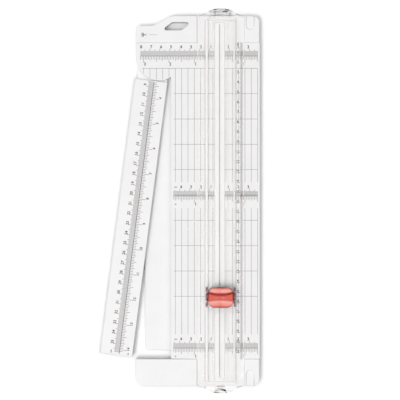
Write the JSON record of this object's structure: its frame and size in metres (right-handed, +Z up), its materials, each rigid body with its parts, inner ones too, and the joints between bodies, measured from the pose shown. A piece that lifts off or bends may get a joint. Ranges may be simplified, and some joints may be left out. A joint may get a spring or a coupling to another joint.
{
  "type": "rotary paper trimmer",
  "caption": "Flat paper trimmer with a swing-out ruler arm, a hinged clear rail over the cut line, and a sprung sliding head that holds a round blade.",
  "frame": {"origin": "on the surface it stands on, under the middle of the cut line, at the face of the middle rubber foot", "axes": "+Y along the cut towards the header, +X to the right of the cut line, +Z up"},
  "size_m": [0.1615, 0.3846, 0.0282],
  "materials": {
    "white_plastic": "satin moulded white",
    "strip_plastic": "matte white",
    "clear_plastic": "polished clear",
    "coral_plastic": "smooth coral red",
    "maroon_plastic": "smooth dark red",
    "nylon": "natural moulded",
    "foot_rubber": "matte black",
    "steel": "plated",
    "blade_steel": "ground",
    "scale_print": "printed ink"
  },
  "bodies": {
    "base": {"base_shell": "white_plastic", "bottom_cover": "white_plastic", "cutting_strip": "strip_plastic", "rubber_feet": "foot_rubber", "cover_screws": "steel", "pivot_screw": "steel", "friction_washer": "nylon", "rail_hinge_pin": "steel"},
    "ruler_arm": {"ruler_arm": "white_plastic"},
    "guard_rail": {"guard_rail": "clear_plastic"},
    "carriage": {"carriage_frame": "coral_plastic", "left_runner": "maroon_plastic", "right_runner": "maroon_plastic", "press_springs": "steel"},
    "press_head": {"grip_cap": "coral_plastic", "blade_holder_left": "nylon", "blade_holder_right": "nylon", "blade_axle": "steel", "axle_washers": "nylon"},
    "blade": {"rotary_blade": "blade_steel"}
  },
  "joints": [
    {"name": "arm_swing", "type": "hinge", "parent": "base", "child": "ruler_arm", "pos_m": [-0.0609, 0.1428, 0.0065], "axis": [0, 0, -1], "range_deg": [-7.3, 82.7]},
    {"name": "rail_lift", "type": "hinge", "parent": "base", "child": "guard_rail", "pos_m": [0.001, 0.1876, 0.0066], "axis": [-1, 0, 0], "range_deg": [0, 75]},
    {"name": "head_slide", "type": "slide", "parent": "guard_rail", "child": "carriage", "axis": [0, 1, 0], "range_m": [-0.0739, 0.2661]},
    {"name": "cap_press", "type": "slide", "parent": "carriage", "child": "press_head", "axis": [0, 0, -1], "range_m": [0, 0.0022], "stiffness_N_per_m": 1500, "springref_m": -0.001, "deforming": ["press_springs"]},
    {"name": "blade_spin", "type": "hinge", "parent": "press_head", "child": "blade", "pos_m": [0, -0.0961, 0.01815], "axis": [1, 0, 0], "continuous": true}
  ]
}
